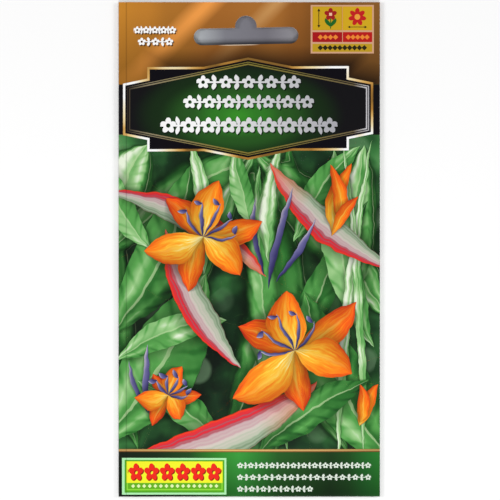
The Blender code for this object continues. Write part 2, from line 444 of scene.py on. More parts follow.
# %% [markdown]
# ## The picture
# The picture is a garden scene of our own: star blossoms with pointed orange petals, violet stamens and
# spires, straps with red margins, and broad leaves. Far leaves have soft edges, near ones are crisp, and a
# little noise on the point's place keeps every edge from looking drawn with a ruler. Each kind of plant has
# one function for its colour, and a list of its blades.

# %% The leaves


def leaf_colour(along, across, tone):
    """A lighter and a darker half, slanting veins, a gloss on each half and a pale rib."""
    edge = abs(across)
    veins = (along * 58 - edge * 7).sine().times_plus(0.5, 0.5) ** 4
    gloss = abs(edge - 0.5).ramp_up(0.34, 0.0) * (along * 7 + tone * 11).sine().times_plus(0.5, 0.5)
    depth = across.ramp_up(-0.05, 0.05) * 0.12 + tone * 0.82 + gloss * 0.26 - veins * edge * 0.15 - 0.02
    green = ramp(
        depth, (0.0, "#0a180d"), (0.2, "#153e1a"), (0.4, "#2d702d"), (0.6, "#5aa450"), (0.78, "#a0d08c"),
        (0.95, "#eef8e0"),
    )
    return blend((edge < 0.05) * 0.5, green, paint("#c4e0a8"))


FAR_LEAVES = (  # root, turn, length, half width, bend, tone
    ((-34, -62), 96, 95, 8.0, 0.05, 0.42), ((-8, -64), 78, 100, 7.0, -0.04, 0.36),
    ((30, -62), 108, 95, 9.0, 0.05, 0.46), ((-44, -2), 32, 62, 7.0, 0.06, 0.55),
    ((42, -22), 128, 66, 8.0, -0.05, 0.62), ((12, -62), 96, 88, 4.2, 0.03, 0.66),
    ((-22, -30), 68, 64, 4.0, 0.05, 0.70), ((34, -12), 88, 44, 6.0, 0.06, 0.80),
    ((-40, 8), 70, 26, 7.0, 0.1, 0.82), ((6, -4), 84, 38, 2.4, 0.05, 0.86),
)
NEAR_LEAVES = (
    ((-43, -26), 64, 58, 9.0, -0.08, 0.52), ((8, -64), 70, 84, 5.0, 0.06, 0.44),
    ((38, -30), 101, 62, 5.4, 0.07, 0.72), ((-46, -60), 58, 62, 11.5, -0.05, 0.60),
    ((46, -68), 118, 62, 9.5, 0.06, 0.50), ((-30, 0), 118, 34, 4.6, 0.08, 0.78),
    ((-14, -8), 96, 42, 2.6, -0.06, 0.86), ((14, 2), 56, 36, 4.2, 0.08, 0.62),
    ((2, 6), 104, 27, 3.0, 0.05, 0.74), ((-41, -34), 20, 36, 4.6, 0.08, 0.76),
    ((27, -66), 84, 100, 1.6, 0.02, 0.90), ((35, -64), 94, 98, 1.3, -0.02, 0.84),
    ((2, -63), 34, 42, 5.2, 0.05, 0.48), ((-8, -62), 140, 34, 4.6, -0.08, 0.66),
)
print("leaves:", len(FAR_LEAVES), "far and", len(NEAR_LEAVES), "near")

# %% The straps with red margins


def strap_colour(along, across, tone):
    """Grey to rose across, with fine ribs, a red margin and a red tip."""
    ribs = (across * 34).sine() * 0.04 + (across * 13 + 1).sine() * 0.05
    body = ramp(across * 0.5 + 0.5 + ribs, (0.0, "#63805f"), (0.2, "#abbba0"), (0.45, "#d0c6bc"),
                (0.66, "#c49aa2"), (0.78, "#b0525c"), (0.84, "#d8283c"), (1.0, "#ee3c22"))
    tip = ramp(along, (0.0, "#d82a30"), (1.0, "#f0501e"))
    return blend(along.ramp_up(0.66, 1.0) * 0.8, multiply(body, tone * 0.5 + 0.6), tip)


STRAPS = (
    ((-44, 18), -28, 56, 4.2, 0.09, 0.62), ((-40, -65), 22, 66, 6.0, -0.08, 0.86),
    ((44, -6), 139, 50, 4.4, 0.08, 0.74), ((-3, -36), 118, 48, 4.6, 0.07, 0.80),
)

# %% The petals


def petal_colour(along, across, tone):
    """Yellow at the root, orange to red outwards, streaked along, with a bright fold and a shaded side."""
    streaks = add_node("ShaderNodeCombineXYZ", {0: along * 2.2, 1: across * 5.5, 2: tone * 9})
    grain = noise(streaks, 1.6, 3.0) - 0.5
    edge = abs(across)
    heat = along * 0.46 + tone * 0.44 + grain * 0.66 + edge * edge * 0.24 - 0.1
    flame = ramp(
        heat, (0.0, "#fff0a0"), (0.14, "#ffc53c"), (0.34, "#fc911e"), (0.56, "#f26414"), (0.76, "#e03e16"),
        (1.0, "#b01a10"),
    )
    fold = abs(across - 0.05).ramp_up(0.15, 0.0) * along.ramp_up(1.0, 0.5)
    flame = blend(fold * 0.6, flame, paint("#ffd257"))
    sheen = abs(across + 0.45).ramp_up(0.4, 0.0) * 0.18
    shaded = across.ramp_up(-0.1, 1.1) * 0.34 + along.ramp_up(0.2, 0.0) * 0.35
    return multiply(flame, 1.0 + sheen - shaded)


def star(centre, size, turn, squash, tone):
    """Six petals round a centre: three narrow ones behind, three broad ones in front, tilted by a squash."""
    blades = []
    for step in (0, 2, 4, 1, 3, 5):
        front = step % 2
        angle = turn + 60 * step
        reach = size * (1 - squash * abs(sin(radians(angle - 35))))
        shade = tone + (0.0 if front else 0.32) + 0.06 * (step % 3)
        width, bend = (0.24, 0.08) if front else (0.19, -0.07)
        blades.append((centre, angle, reach, size * width, bend, shade))
    return blades


# %% The stamens and spires


def violet_colour(along, across, tone):
    depth = along * 0.7 + across * 0.22 + 0.15
    ink = ramp(depth, (0.0, "#232144"), (0.3, "#3e3b72"), (0.65, "#6d6a9e"), (1.0, "#ccc4d0"))
    return multiply(ink, tone * 0.5 + 0.65)


def stamens(centre, size, turn):
    """Five thin stalks, each with a small head across its tip."""
    blades = []
    for step in range(5):
        angle = turn + 30 * (step - 2)
        reach = size * (1.0 - 0.07 * abs(step - 2))
        blades.append((centre, angle, reach, 0.45, 0.05 * (step - 2), 0.35 + 0.1 * step))
        out = 0.93 * reach
        tip = (centre[0] + out * cos(radians(angle)), centre[1] + out * sin(radians(angle)))
        blades.append((tip, angle + 68, 2.8, 0.7, 0.1, 0.75))
    return blades


SPIRES = (
    ((6, -12), 76, 32, 1.1, 0.04, 0.5), ((8, -10), 58, 23, 0.9, -0.05, 0.8),
    ((5, -8), 98, 24, 0.8, 0.06, 0.3),
    ((-30, -52), 92, 23, 1.0, 0.05, 0.6), ((-31, -50), 110, 17, 0.8, 0.06, 0.35),
)
BLOSSOMS = star((-14, 4), 20.5, 14, 0.22, 0.16) + star((14, -31), 24.5, 38, 0.28, 0.24)
BLOSSOMS += star((-25, -45), 12.5, 4, 0.35, 0.36)
BUDS = [
    ((25, 5), 74, 22, 2.7, 0.08, 0.30), ((27, 6), 97, 20, 2.3, -0.10, 0.52),
    ((25, 4), 56, 15, 1.8, 0.08, 0.66), ((34, -54), 66, 14, 2.3, 0.08, 0.42),
    ((34, -53), 92, 12, 1.8, -0.1, 0.64),
]
STAMENS = stamens((-14, 4), 11.5, 62) + stamens((14, -31), 13, 118) + stamens((-25, -45), 7.5, 60)
print("blossoms:", len(BLOSSOMS) // 6, "bud petals:", len(BUDS), "stamens:", len(STAMENS) // 2)

# %% The whole picture


def picture_colour(vector, x, y):
    """Every noise is worked out first, so that the blades can follow one by one."""
    gloom = noise(vector, 0.055, 3.0)
    dapple = noise(vector, 0.11, 2.0) - 0.5
    shift = add_node("ShaderNodeSeparateColor", {0: noise(vector, 0.16, 2.0, output=1)})
    lights = {"Vector": vector, "Scale": 0.075, "Randomness": 0.9}
    light = add_node("ShaderNodeTexVoronoi", lights)
    tint = add_node("ShaderNodeSeparateColor", {0: light.part(1)})
    disc = light.ramp_up(0.36, 0.28) * tint.ramp_up(0.3, 1.0)
    x = x + (shift - 0.5) * 2.4
    y = y + (shift.part(1) - 0.5) * 2.4
    colour = ramp(gloom, (0.3, "#0d1c12"), (0.45, "#1b3f22"), (0.6, "#3b7a3e"), (0.8, "#78b472"))
    colour = blend(disc * 0.5, colour, paint("#8fb98c"))
    for blades, crisp in ((FAR_LEAVES, 1.6), (NEAR_LEAVES, 30.0)):
        along, across, tone, shade = laid(x, y, blades, crisp)
        leaves = leaf_colour(along, across, tone + dapple * 0.55)
        colour = multiply(blend(tone.ramp_up(0.0, 0.3), colour, leaves), shade)
    plants = (
        (STRAPS, strap_colour), (SPIRES, violet_colour), (BLOSSOMS + BUDS, petal_colour),
        (STAMENS, violet_colour),
    )
    for blades, colour_of in plants:
        along, across, tone, shade = laid(x, y, blades)
        colour = multiply(blend(is_covered(tone), colour, colour_of(along, across, tone)), shade)
    return colour


# %% [markdown]
# ## The footer, the panel and the badge
# A gold rule closes the picture. Under it, a green gradient carries a mint-edged panel, which holds plain red
# flowers where a maker's name would be. The badge at the top right has two yellow cells with small drawings
# of a plant and a flower, over a red strip and a yellow one with rows of diamonds.

# %% The footer
RULE_TOP, RULE_FOOT = -61.05, -62.0


def footer_colour(x, y):
    across = ramp(
        x.ramp_up(-40, 40), (0.0, "#141e12"), (0.14, "#162a16"), (0.27, "#1e461c"), (0.38, "#2c8428"),
        (0.46, "#36983a"), (0.54, "#2a7a2c"), (0.61, "#235a21"), (0.72, "#1e4a1b"), (0.81, "#183a17"),
        (0.88, "#1c4a1c"), (0.95, "#226a29"), (1.0, "#287a2c"),
    )
    return multiply(across, y.ramp_up(-76, -63) * 0.62 + 0.38)


def rule_colour(x, y):
    up = y.ramp_up(RULE_FOOT, RULE_TOP)
    gold = ramp(up, (0.0, "#4e301c"), (0.3, "#a8793f"), (0.62, "#e3bb76"), (0.85, "#b98d4e"),
                (1.0, "#5a3c22"))
    return multiply(gold, 1.1 - abs(x + 4) * 0.008)


def diamonds(x, y, left, right, height, size, pitch):
    """A row of small diamonds."""
    cell = abs((x - left) % pitch - pitch / 2)
    return (cell + abs(y - height) < size) * within(x, y, left, right, height - size, height + size)


def flower(x, y, middle, size, petals, eye=0.24):
    """A small flower seen from above, with a hole in its middle."""
    dx, dy = x - middle[0], y - middle[1]
    far = (dx * dx + dy * dy) ** 0.5
    lobes = abs((dy.maths("ARCTAN2", dy, dx) * (petals / 2) + pi / 4 * petals).sine())
    return (far < lobes * (size * 0.42) + size * 0.58) * (far > size * eye)


# %% The panel
PANEL_FLOWER_PITCH = 4.75


def panel_colour(x, y, under):
    """A mint border, a green band, a yellow field with red flowers, and a small pale row under it."""
    colour = under
    for left, right, foot, top, ink in (
        (-38.95, -7.0, -75.05, -63.8, "#b0eeb2"), (-38.15, -7.6, -74.45, -64.4, "#55a824"),
        (-37.6, -8.15, -73.75, -64.85, "#8fdc3c"), (-37.6, -8.15, -71.45, -64.85, "#f3f32c"),
        (-37.15, -8.5, -73.35, -71.5, "#64b01e"),
    ):
        colour = blend(within(x, y, left, right, foot, top), colour, paint(ink))
    for shift_x, shift_y, ink in ((0.28, -0.28, "#8c2412"), (0.0, 0.0, "#ee2a1c")):
        cell = (x - shift_x + 37.05) % PANEL_FLOWER_PITCH - PANEL_FLOWER_PITCH / 2
        row = flower(cell * 1.2, y - shift_y + 68.2, (0, 0), 2.75, 5, 0.22)
        colour = blend(row * within(x, y, -37.2, -8.3, -71.4, -65.0), colour, paint(ink))
    return blend(diamonds(x, y, -36.4, -9.2, -72.42, 0.62, 1.7), colour, paint("#e4f7b4"))


# %% The badge


def badge_colour(x, y, under):
    """Cells, strips and drawings, from the back forwards."""
    colour = under
    for left, right, foot, top, ink in (
        (18.8, 38.15, 60.0, 74.85, "#d4a482"), (19.35, 28.45, 67.1, 74.4, "#c79422"),
        (28.55, 37.65, 67.1, 74.4, "#d8a022"), (19.55, 28.2, 67.3, 74.2, "#cda41c"),
        (28.8, 37.45, 67.3, 74.2, "#d4aa1e"), (19.35, 28.45, 63.5, 66.55, "#a81419"),
        (28.65, 37.65, 63.5, 66.55, "#ba1a18"), (19.35, 37.65, 60.5, 62.95, "#c09a20"),
    ):
        colour = blend(within(x, y, left, right, foot, top), colour, paint(ink))
    dark = paint("#2a2410")
    stem = within(x, y, 24.75, 25.05, 67.6, 70.8)
    up = y - 68.2
    leaf = abs(abs(x - 24.9) - up * 0.55 - 0.2) < (up * (2.6 - up)).at_least(0.0) * 0.42
    colour = blend(stem.at_least(leaf * (up > 0)), colour, paint("#1e6424"))
    for middle, size, petals, ink in (((24.9, 72.0), 1.95, 5, "#a01c1c"), ((33.1, 71.2), 2.75, 7, "#c4201f")):
        colour = blend(flower(x, y, middle, size, petals, 0.0), colour, paint(ink))
    dx, dy = x - 33.1, y - 71.2
    colour = blend((dx * dx + dy * dy) < 0.75, colour, paint("#efa23e"))
    colour = blend(within(x, y, 24.45, 25.35, 71.55, 72.45), colour, paint("#f0c4a0"))
    tall = abs(y - 70.8)
    wide = abs(x - 33.1)
    heads = (abs(x - 21.3) < (3.0 - tall) * 0.55 * (tall > 2.1)).at_least(
        abs(y - 68.1) < (3.0 - wide) * 0.5 * (wide > 2.2))
    shafts = within(x, y, 21.18, 21.42, 68.2, 73.4).at_least(within(x, y, 30.6, 35.6, 68.0, 68.2))
    colour = blend(heads.at_least(shafts), colour, dark)
    beads = diamonds(x, y, 21.0, 27.2, 65.0, 0.8, 1.55).at_least(diamonds(x, y, 29.6, 36.8, 65.0, 0.8, 1.44))
    colour = blend(beads, colour, paint("#f08a34"))
    return blend(diamonds(x, y, 21.0, 36.0, 61.75, 0.85, 1.5), colour, dark)


print("panel and badge sums ready")

# %% [markdown]
# ## The front's print
# The bands are put together from the back forwards: the header, the plaque with the title's ornament and its
# shadow, the badge, the rule, and the footer with its panel. The picture then fills the window that they
# leave. A fine painted shade darkens the crease of the pressed side seam near the left edge, and a thin
# painted highlight lightens the middle of the slot's lower lip.

# %% The slot's measures
SLOT_MIDDLE = (-0.97, 65.3)  # in millimetres, as the print is
SLOT_TILT = radians(1.1)
SLOT_LENGTH, SLOT_BAR, HUMP_RADIUS, HUMP_RAISE = 32.0, 5.1, 3.3, 0.4
SLOT_END = SLOT_LENGTH / 2 - SLOT_BAR / 2


def slot_lip_highlight(x, y):
    """A painted highlight: a thin pale line along the middle of the slot's lower lip."""
    dx, dy = x - SLOT_MIDDLE[0], y - SLOT_MIDDLE[1]
    along = dx.times_plus(cos(SLOT_TILT), dy * sin(SLOT_TILT))
    up = dy.times_plus(cos(SLOT_TILT), dx * -sin(SLOT_TILT))
    past = (abs(along) - SLOT_END).at_least(0.0)
    far = (past * past + up * up) ** 0.5 - SLOT_BAR / 2
    return far.ramp_up(0.32, 0.12) * (up < 0) * abs(along + 2.2).ramp_up(6.5, 3.5)


# %% The front
HEADER_FOOT = 50.5  # the header ends here, and black strips run on beside the plaque
STRIP_MIDDLE, STRIP_HALF, STRIP_START = 42.8, 7.7, 38.1


def band_colour(x, y, outline, hexagon, strips):
    """All of the print but the picture."""
    colour = header_colour(x, y, outline)
    colour = blend(strips, colour, paint("#08060c"))
    colour = blend(outline < 0, colour, plaque_colour(x, y, outline, hexagon))
    colour = blend(rows(x - 0.35, y + 0.35, TITLE + CORNER) * 0.8, colour, paint("#060a06"))
    white = ramp(x.ramp_up(-14, 28), (0.0, "#ffffff"), (0.35, "#dcdcde"), (1.0, "#a9a9b0"))
    colour = blend(rows(x, y, TITLE + CORNER), colour, white)
    colour = badge_colour(x, y, colour)
    # A painted highlight along the middle of the slot's lower lip.
    colour = blend(slot_lip_highlight(x, y) * 0.75, colour, paint("#f0dcc4"))
    colour = blend(y < RULE_TOP, colour, rule_colour(x, y))
    colour = blend(y < RULE_FOOT, colour, footer_colour(x, y))
    colour = panel_colour(x, y, colour)
    return blend(rows(x, y, SMALL_PRINT), colour, paint("#dde8da"))


def front_colour(vector, x, y):
    """The bands come first and the picture last, which leaves the most memory for its blades."""
    outline, hexagon = plaque_distances(x, y)
    strips = abs(y - STRIP_MIDDLE).ramp_up(STRIP_HALF + 0.1, STRIP_HALF - 0.1)
    strips = strips * (abs(x - PLAQUE_X) > STRIP_START)
    colour = band_colour(x, y, outline, hexagon, strips)
    window = (y < HEADER_FOOT) * (y > RULE_TOP) * (outline > 0) * (1 - strips)
    colour = blend(window, colour, picture_colour(vector, x, y))
    # A painted shade in the crease of the pressed side seam, near the left edge.
    seam = abs(x + 37.62).ramp_up(0.28, 0.06)
    return multiply(colour, 1 - seam * 0.3)


def paper_bump(vector, strength, shader):
    """Fine fibres under the varnish, with a slow unevenness."""
    height = noise(vector, 2.4, 3.0) * 0.3 + noise(vector, 0.12, 1.0)
    inputs = {"Strength": strength, "Distance": 0.0001, "Height": height}
    feed(shader, "Normal", add_node("ShaderNodeBump", inputs))


def printed_front():
    material, shader = start_material("printed_front")
    vector, x, y = packet_place()
    feed(shader, "Base Color", front_colour(vector, x, y))
    feed(shader, "Roughness", noise(vector, 0.9, 2.0) * 0.12 + 0.4)
    shader.inputs["Specular IOR Level"].default_value = 0.13
    paper_bump(vector, 0.25, shader)
    print("front print:", len(tree.nodes), "nodes")
    return material


FRONT_PRINT = printed_front()

# %% [markdown]
# ## The other papers
# The back is cream, with a green border, two bands of flowers, ruled lines and a blank sowing calendar, and
# it has the front's header and footer mirrored, since the blank is printed in one go. The inside is plain
# paper, and the glue is a thin lumpy film.

# %% Plain paper and glue


def plain_paper():
    material, shader = start_material("plain_paper")
    vector = packet_place()[0]
    fibres = noise(vector, 3.0, 4.0)
    feed(shader, "Base Color", ramp(fibres, (0.3, "#e4e0d6"), (0.7, "#f3f0e8")))
    feed(shader, "Roughness", fibres * 0.2 + 0.6)
    paper_bump(vector, 0.4, shader)
    return material


def glue_film():
    material, shader = start_material("glue_film")
    vector = packet_place()[0]
    lumps = noise(vector, 0.8, 3.0)
    feed(shader, "Base Color", ramp(lumps, (0.3, "#d8cfae"), (0.7, "#efe8cf")))
    feed(shader, "Roughness", lumps * 0.3 + 0.2)
    paper_bump(vector, 0.8, shader)
    return material


PLAIN = plain_paper()
GLUE = glue_film()
print("materials:", PLAIN.name, GLUE.name)

# %% The back's print
BACK_BORDER = (37.2, -60.5, 54.5)  # half width, foot and top of the green line
CALENDAR = (-33, 33, -52, -34)
BACK_ROWS = ((0, 46.5, 2.6, 27.5, 6.31), (0, -57.0, 1.6, 31.0, 4.23))


def printed_back():
    material, shader = start_material("printed_back")
    vector, x, y = packet_place()
    fibres = noise(vector, 3.0, 4.0)
    colour = ramp(fibres, (0.3, "#ece7d2"), (0.7, "#f4f0df"))
    green = paint("#2f7a34")
    wide, foot, top = BACK_BORDER
    for outer in (0.0, 1.1):
        inner = outer + 0.5
        line = within(x, y, outer - wide, wide - outer, foot + outer, top - outer)
        core = within(x, y, inner - wide, wide - inner, foot + inner, top - inner)
        colour = blend(line * (1 - core), colour, green)
    table = within(x, y, *CALENDAR)
    left, right, foot, top = CALENDAR
    grid = ((x - left) % 5.5 < 0.28).at_least((y - foot) % 6.0 < 0.28)
    season = ramp(x.ramp_up(left, right), (0.0, "#dcecc0"), (0.5, "#f6e6a0"), (1.0, "#dcecc0"))
    colour = blend(table, colour, season)
    colour = blend(table * grid, colour, green)
    lines = ((y + 28) % 4.2 < 0.22) * within(x, y, left, right, -28, 38)
    colour = blend(lines * 0.5, colour, paint("#9cb48c"))
    colour = blend(rows(x, y, BACK_ROWS), colour, green)
    mirrored = x * -1
    colour = blend(y > 56.5, colour, header_colour(mirrored, y, y - 56.5))
    colour = blend(y < RULE_TOP, colour, rule_colour(mirrored, y))
    colour = blend(y < RULE_FOOT, colour, footer_colour(mirrored, y))
    feed(shader, "Base Color", colour)
    feed(shader, "Roughness", fibres * 0.15 + 0.4)
    paper_bump(vector, 0.3, shader)
    print("back print:", len(tree.nodes), "nodes")
    return material


BACK_PRINT = printed_back()

# %% [markdown]
# ## The pouch
# As at the printer's, a sheet is cut while it is flat: a grid from the add menu gets its thickness, its slot
# and its map, and only then is it folded and filled. A pillow of paper is a sum and not a tool, so the flat
# sheet's points are moved in code: flat at the glued seams, highest where the seeds lie, and rolled round the
# folds, which gives them their small round edge.

# %% The levels of the pouch
PAPER = 0.14 * MM
GLUED_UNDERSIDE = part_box("side_glue")[0][2] - 0.21 * MM  # of the back, where it is glued
CREST = high[2]
REST_MIDDLE, REST_X, REST_Y, REST_BLEND = -19.0 * MM, 20.0 * MM, 36.0 * MM, 9.0 * MM
BULGE_HALF_WIDTH, BULGE_TOP, BULGE_CREST, BULGE_FOOT = 37.6 * MM, 57.0 * MM, -20.0 * MM, -73.0 * MM
FACE_AT_SEAM = 0.47 * MM  # of the front's face over the back's underside
PLY_AT_FLAP = 0.21 * MM  # the side flap lifts the front this much more


def ease(t):
    t = np.clip(t, 0, 1)
    return t * t * (3 - 2 * t)


def back_level(x, y):
    past_x = np.maximum(abs(x) - REST_X, 0)
    past_y = np.maximum(abs(y - REST_MIDDLE) - REST_Y, 0)
    return GLUED_UNDERSIDE * ease(np.hypot(past_x, past_y) / REST_BLEND)


def front_level(x, y):
    """The front's face: the seams' level, a ply more at the left seam, and the pillow with its slow waves."""
    reach = np.where(y > BULGE_CREST, BULGE_TOP - BULGE_CREST, BULGE_CREST - BULGE_FOOT)
    across = np.maximum(1 - (x / BULGE_HALF_WIDTH) ** 2, 0) ** 1.15
    along = np.maximum(1 - ((y - BULGE_CREST) / reach) ** 2, 0) ** 1.5
    seam = GLUED_UNDERSIDE + FACE_AT_SEAM + PLY_AT_FLAP * ease((-27.8 * MM - x) / (4 * MM))
    waves = 0.05 * MM * np.sin(y / MM * 0.16 + x / MM * 0.05) * np.sin(x / MM * 0.11 + 1.0)
    return seam + (CREST - GLUED_UNDERSIDE - FACE_AT_SEAM) * across * along + waves * across


print("crest", round(CREST / MM, 2), "mm, glued underside", round(GLUED_UNDERSIDE / MM, 2), "mm")

# %% The punch


def slot_punch():
    """A box with two round ends and a round hump, joined and turned to the slot's tilt."""
    bpy.ops.object.select_all(action="DESELECT")
    ends = []
    bar = SLOT_BAR / 2
    for x, y, radius in ((-SLOT_END, 0, bar), (SLOT_END, 0, bar), (0, bar + HUMP_RAISE, HUMP_RADIUS)):
        bpy.ops.mesh.primitive_cylinder_add(
            vertices=64, radius=radius * MM, depth=4 * MM, location=(x * MM, y * MM, 0))
        ends.append(bpy.context.object)
    bpy.ops.mesh.primitive_cube_add(size=MM, scale=(2 * SLOT_END, 2 * bar, 4))
    body = bpy.context.object
    bpy.ops.object.transform_apply(location=False, rotation=False, scale=True)
    for end in ends:
        union = body.modifiers.new("join", "BOOLEAN")
        union.object = end
        union.operation = "UNION"
        bpy.ops.object.modifier_apply(modifier=union.name)
        bpy.data.objects.remove(end, do_unlink=True)
    body.data.transform(Matrix.Rotation(SLOT_TILT, 4, "Z"))
    body.data.transform(Matrix.Translation((SLOT_MIDDLE[0] * MM, SLOT_MIDDLE[1] * MM, 0)))
    body.name = "slot_punch"
    body.data.materials.append(PLAIN)
    return body


SLOT_PUNCH = slot_punch()
print("punch", len(SLOT_PUNCH.data.polygons), "faces")

# %% A flat sheet


def flat_sheet(name, columns, rows_at, face, cut=False):
    """A flat sheet with its printed face at z 0. Its columns and rows stand at the given places."""
    bpy.ops.object.select_all(action="DESELECT")
    bpy.ops.mesh.primitive_grid_add(x_subdivisions=len(columns) - 1, y_subdivisions=len(rows_at) - 1, size=1)
    piece = bpy.context.object
    piece.name = name
    piece.data.name = name
    corners = np.zeros(len(piece.data.vertices) * 3)
    piece.data.vertices.foreach_get("co", corners)
    points = corners.reshape(-1, 3)
    points[:, 0] = np.interp(points[:, 0] + 0.5, np.linspace(0, 1, len(columns)), columns)
    points[:, 1] = np.interp(points[:, 1] + 0.5, np.linspace(0, 1, len(rows_at)), rows_at)
    piece.data.vertices.foreach_set("co", points.ravel())
    for paper in (face, PLAIN):
        piece.data.materials.append(paper)
    shell = piece.modifiers.new("paper", "SOLIDIFY")
    shell.thickness = PAPER
    shell.offset = -1.0
    shell.material_offset = 1
    shell.material_offset_rim = 1
    bpy.ops.object.modifier_apply(modifier=shell.name)
    if cut:
        punch = piece.modifiers.new("punch", "BOOLEAN")
        punch.object = SLOT_PUNCH
        punch.operation = "DIFFERENCE"
        punch.material_mode = "TRANSFER"
        bpy.ops.object.modifier_apply(modifier=punch.name)
    return piece


def map_sheet(piece):
    """One map for the flat sheet: its printed face fills most of it, and its plain side a strip beside it."""
    corners = np.zeros(len(piece.data.vertices) * 3)
    piece.data.vertices.foreach_get("co", corners)
    points = corners.reshape(-1, 3)
    low_corner, size = points.min(0), np.ptp(points, axis=0)
    loops = np.zeros(len(piece.data.loops), dtype=int)
    piece.data.loops.foreach_get("vertex_index", loops)
    u, v, depth = ((points - low_corner) / size)[loops].T
    counts = [len(face.vertices) for face in piece.data.polygons]
    plain = np.repeat([face.material_index > 0 for face in piece.data.polygons], counts)
    u = np.where(plain, 0.915 + u * 0.08 + depth * 0.002, 0.003 + u * 0.9)
    layer = piece.data.uv_layers.new(name="OFBake")
    layer.data.foreach_set("uv", np.stack([u, 0.003 + v * 0.99], axis=1).ravel())


def fold(piece, place):
    """Moves a mapped flat sheet to its place in the pouch."""
    map_sheet(piece)
    corners = np.zeros(len(piece.data.vertices) * 3)
    piece.data.vertices.foreach_get("co", corners)
    piece.data.vertices.foreach_set("co", np.stack(place(*corners.reshape(-1, 3).T), axis=1).ravel())
    piece.data.update()
    piece.select_set(True)
    bpy.context.view_layer.objects.active = piece
    bpy.ops.object.shade_smooth_by_angle(angle=radians(50))
    return piece


print("sheet helpers ready")

# %% [markdown]
# ## The front
# The front's sheet runs past the sides and the foot by half a turn round each fold. The side that has more
# plies inside has the larger radius. A place past the fold's start goes round it, and the inner side of the
# paper goes round on a smaller radius. Where the foot's fold crosses a side's, both turn the corner down.

# %% The front
FOLD_RIGHT, FOLD_LEFT, FOLD_FOOT = 0.235 * MM, 0.34 * MM, 0.395 * MM  # half of each fold's thickness
FOLD_STEPS = 8


def with_rolls(start, end, roll_start, roll_end, pitch):
    """Places along a sheet, with close steps over the stretch that rolls round a fold at either end."""
    inner_start, inner_end = start + roll_start, end - roll_end
    places = list(np.linspace(inner_start, inner_end, round((inner_end - inner_start) / pitch) + 1))
    if roll_start:
        places = list(inner_start - np.linspace(pi * roll_start, 0, FOLD_STEPS, endpoint=False)) + places
    if roll_end:
        places += list(inner_end + np.linspace(0, pi * roll_end, FOLD_STEPS + 1)[1:])
    return places


def roll(u, w, edge, radius):
    """Where a place past the edge's fold comes to: along the sheet, and how far down."""
    turn = np.clip((u - (edge - radius)) / radius, 0, pi)
    along = np.where(turn > 0, edge - radius + (radius + w) * np.sin(turn), u)
    return along, np.where(turn > 0, radius + w - (radius + w) * np.cos(turn), 0)


def front_place(u, v, w):
    x, down_right = roll(u, w, HALF_W, FOLD_RIGHT)
    x, down_left = roll(-x, w, HALF_W, FOLD_LEFT)
    y, down_foot = roll(-v, w, HALF_H, FOLD_FOOT)
    x, y = -x, -y
    down = np.hypot(np.maximum(down_right, down_left), down_foot)
    return x, y, front_level(x, y) + w - down


columns = with_rolls(-HALF_W, HALF_W, FOLD_LEFT, FOLD_RIGHT, 1.0 * MM)
rows_at = with_rolls(-HALF_H, HALF_H, FOLD_FOOT, 0, 1.2 * MM)
front = fold(flat_sheet("packet_front", columns, rows_at, FRONT_PRINT, cut=True), front_place)
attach(front, "root")
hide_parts("front_panel")
print("front", len(front.data.polygons), "faces")

# %% [markdown]
# ## The back and its flap
# The back is a flat sheet turned over, a little short of each fold, and raised to the front at its seams. The
# flap from the front's foot lies outside it. It narrows away from the fold, so that it never shows past the
# sides.

# %% The back
SHORT_OF_LEFT_FOLD, SHORT_OF_RIGHT_FOLD, SHORT_OF_FOOT = 0.8 * MM, 0.25 * MM, 0.45 * MM


def turn_over(piece):
    """Turns the faces of a sheet that was moved to its mirror image."""
    bpy.ops.object.mode_set(mode="EDIT")
    bpy.ops.mesh.select_all(action="SELECT")
    bpy.ops.mesh.flip_normals()
    bpy.ops.object.mode_set(mode="OBJECT")
    return piece


def back_place(u, v, w):
    return u, v, back_level(u, v) - w


columns = np.linspace(-HALF_W + SHORT_OF_LEFT_FOLD, HALF_W - SHORT_OF_RIGHT_FOLD, 60)
rows_at = np.linspace(-HALF_H + SHORT_OF_FOOT, HALF_H, 110)
back = turn_over(fold(flat_sheet("packet_back", columns, rows_at, BACK_PRINT, cut=True), back_place))
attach(back, "root")
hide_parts("back_panel")
print("back", len(back.data.polygons), "faces")

# %% The flap
FLAP_DEPTH, FLAP_INSET, FLAP_TAPER = 12 * MM, 0.4 * MM, 0.095
FLAP_UNDERSIDE = GLUED_UNDERSIDE - 0.17 * MM


def flap_place(u, v, w):
    """The flap narrows away from the foot, and its two free corners are cut slanting."""
    out = (v + HALF_H) / FLAP_DEPTH
    return u * (1 - FLAP_TAPER * ease(out) * out), v, FLAP_UNDERSIDE - w


columns = np.linspace(-HALF_W + FLAP_INSET, HALF_W - FLAP_INSET, 40)
rows_at = np.linspace(-HALF_H + FLAP_INSET, -HALF_H + FLAP_DEPTH, 12)
flap = turn_over(fold(flat_sheet("packet_bottom_flap", columns, rows_at, BACK_PRINT), flap_place))
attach(flap, "root")
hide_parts("bottom_flap")
bpy.data.objects.remove(SLOT_PUNCH, do_unlink=True)
print("flap", len(flap.data.polygons), "faces")

# %% [markdown]
# ## The hidden papers
# The side flap and the glue films lie between the plies, where only their thin edges could show. Their
# measured shapes are good as they are, and they only get their finish.

# %% The hidden papers and glue
for name, finish in (("side_flap", PLAIN), ("side_glue", GLUE), ("bottom_glue", GLUE), ("header_glue", GLUE)):
    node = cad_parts[name]
    node.data.materials.clear()
    node.data.materials.append(finish)
print("hidden papers have their finish")

# %% [markdown]
# ## The seeds
# The seeds are hard, black and as large as a pea, each with a tuft of orange hairs at one end. One seed is
# made from a sphere and a bundle of thin cones, and it is copied for the others. The hairs stand at even
# steps of the golden angle, which spreads them without a pattern.

# %% The seed's materials
SEED_LENGTH, SEED_THICK, SEED_TAPER = 6.0 * MM, 5.0 * MM, 0.12
TUFT_RADIUS = 1.7 * MM
TUFT_MIDDLE = SEED_LENGTH / 2 - TUFT_RADIUS * 0.45
HAIRS = 90
GOLDEN_ANGLE = pi * (3 - 5 ** 0.5)


